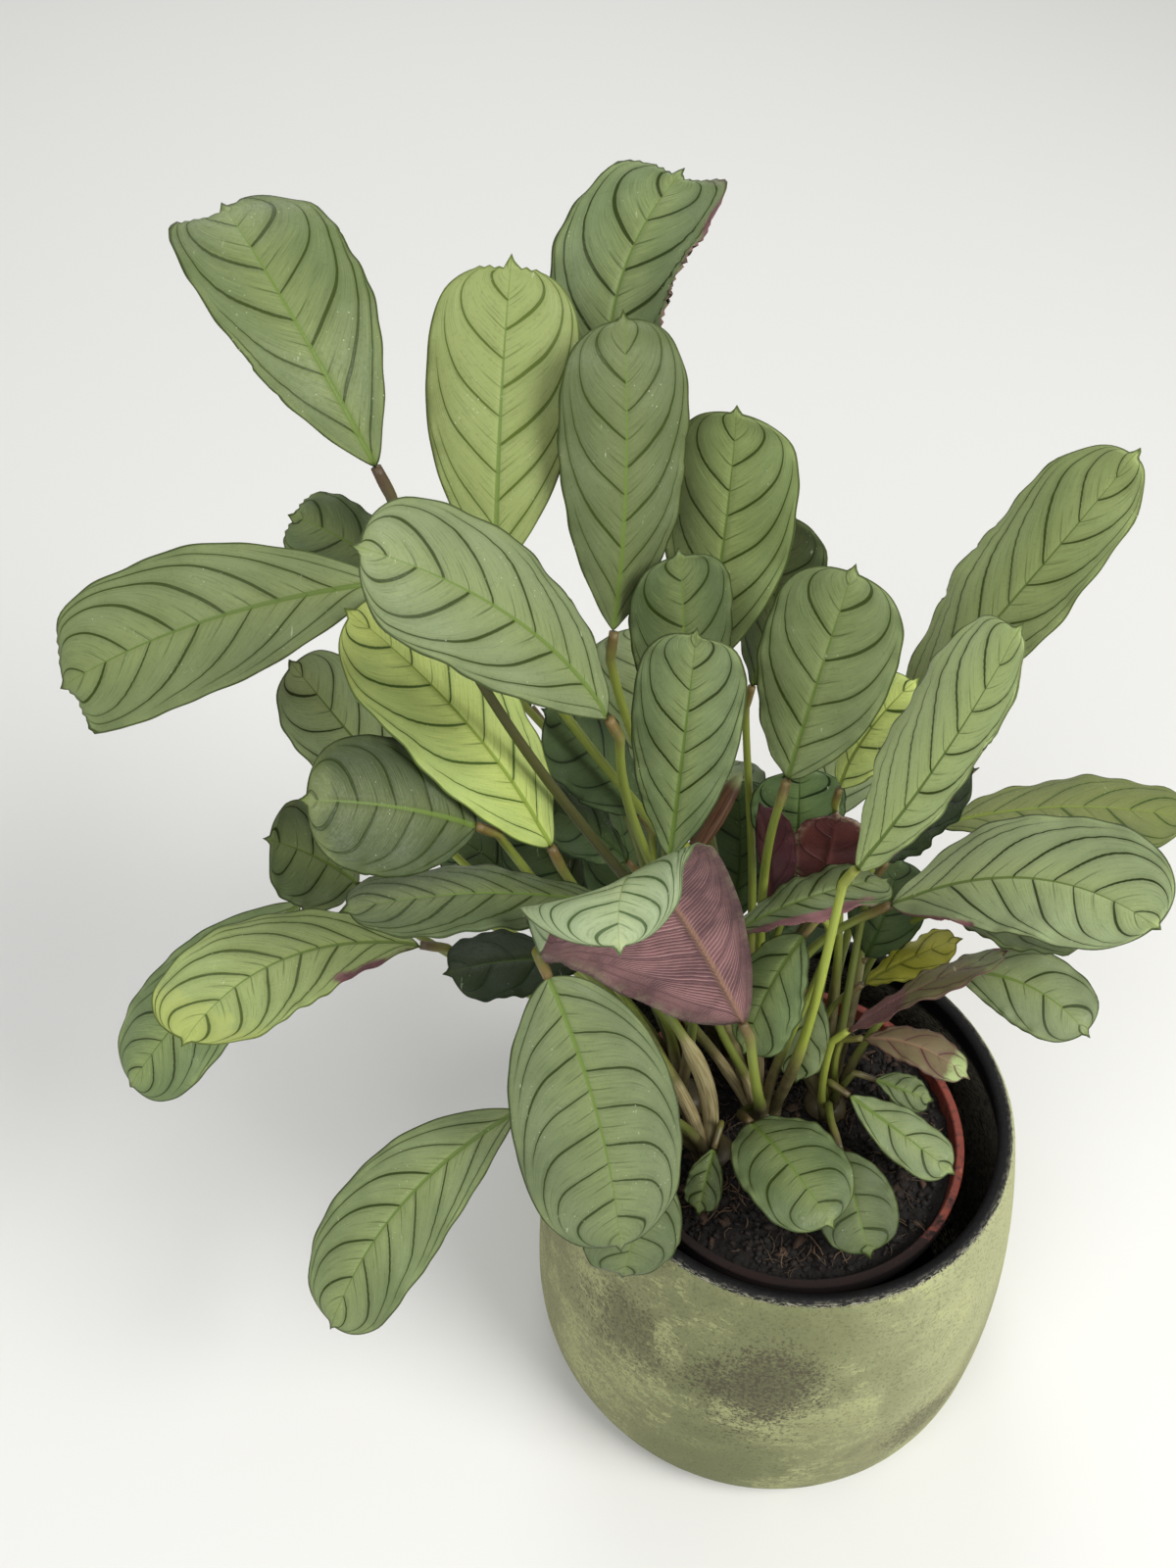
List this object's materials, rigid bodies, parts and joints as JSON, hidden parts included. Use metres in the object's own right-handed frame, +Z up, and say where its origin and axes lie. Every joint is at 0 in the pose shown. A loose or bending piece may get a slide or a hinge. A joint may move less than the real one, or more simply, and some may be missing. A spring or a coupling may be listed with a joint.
{
  "type": "potted ctenanthe",
  "caption": "Leafy house plant with patterned oval leaves on long arching stalks, growing in a nursery pot that stands in a round-bellied cover pot; a free-standing room decoration.",
  "frame": {"origin": "centre of the cover pot's flat underside, on the surface that it stands on", "axes": "+Z up along the pot's turning axis; the plant leans towards -X, and -Y is the side that the picture was taken from"},
  "size_m": [0.4439, 0.3054, 0.5402],
  "materials": {
    "leaf_silver_green": "satin",
    "leaf_yellow_green": "satin",
    "leaf_deep_green": "satin",
    "leaf_purple": "satin",
    "leaf_red": "satin",
    "stalks": "satin",
    "pot_clay": "matte",
    "nursery_plastic": "matte",
    "peat": "matte"
  },
  "bodies": {
    "root": {"cover_pot": "pot_clay", "nursery_pot": "nursery_plastic", "soil": "peat", "stems_left": "stalks", "stems_front": "stalks", "stems_middle": "stalks", "stems_back": "stalks", "stems_right": "stalks", "leaf_upper_left": "leaf_silver_green", "leaf_upper_mid_left": "leaf_yellow_green", "leaf_top_back": "leaf_silver_green", "leaf_top_centre": "leaf_silver_green", "leaf_big_silver": "leaf_silver_green", "leaf_far_left": "leaf_silver_green", "leaf_back_left_small": "leaf_silver_green", "leaf_yellow_mid": "leaf_yellow_green", "leaf_dark_left": "leaf_deep_green", "leaf_round_left": "leaf_silver_green", "leaf_under_round": "leaf_silver_green", "leaf_low_back_left": "leaf_silver_green", "leaf_yellow_tip": "leaf_silver_green", "leaf_flat_mid_left": "leaf_silver_green", "leaf_purple_back": "leaf_purple", "leaf_dark_low_left": "leaf_deep_green", "leaf_front_big": "leaf_silver_green", "leaf_low_left": "leaf_silver_green", "leaf_over_rim": "leaf_silver_green", "leaf_small_by_stems": "leaf_silver_green", "leaf_in_pot_front": "leaf_silver_green", "leaf_in_pot_behind": "leaf_silver_green", "leaf_in_pot_right": "leaf_silver_green", "leaf_in_pot_small": "leaf_silver_green", "leaf_young_purple": "leaf_purple", "leaf_olive_roll": "leaf_yellow_green", "leaf_young_pink": "leaf_purple", "leaf_right_lower": "leaf_silver_green", "leaf_right_big": "leaf_silver_green", "leaf_right_back": "leaf_yellow_green", "leaf_right_upper": "leaf_silver_green", "leaf_right_mid": "leaf_silver_green", "leaf_centre_right": "leaf_silver_green", "leaf_yellow_small": "leaf_yellow_green", "leaf_centre_front": "leaf_silver_green", "leaf_behind_centre": "leaf_silver_green", "leaf_back_right_tall": "leaf_silver_green", "leaf_edge_behind": "leaf_silver_green", "leaf_dark_small": "leaf_deep_green", "leaf_red_back": "leaf_red", "leaf_red_flap": "leaf_red", "leaf_silver_purple": "leaf_silver_green", "leaf_silver_hanging": "leaf_silver_green", "leaf_inner_right": "leaf_silver_green", "leaf_under_right": "leaf_silver_green", "leaf_dark_centre": "leaf_deep_green", "leaf_shade_a": "leaf_deep_green", "leaf_behind_mid": "leaf_deep_green", "leaf_rear_left": "leaf_silver_green", "leaf_rear_middle": "leaf_silver_green", "leaf_rear_right": "leaf_silver_green", "leaf_rear_low": "leaf_silver_green"}
  },
  "joints": []
}
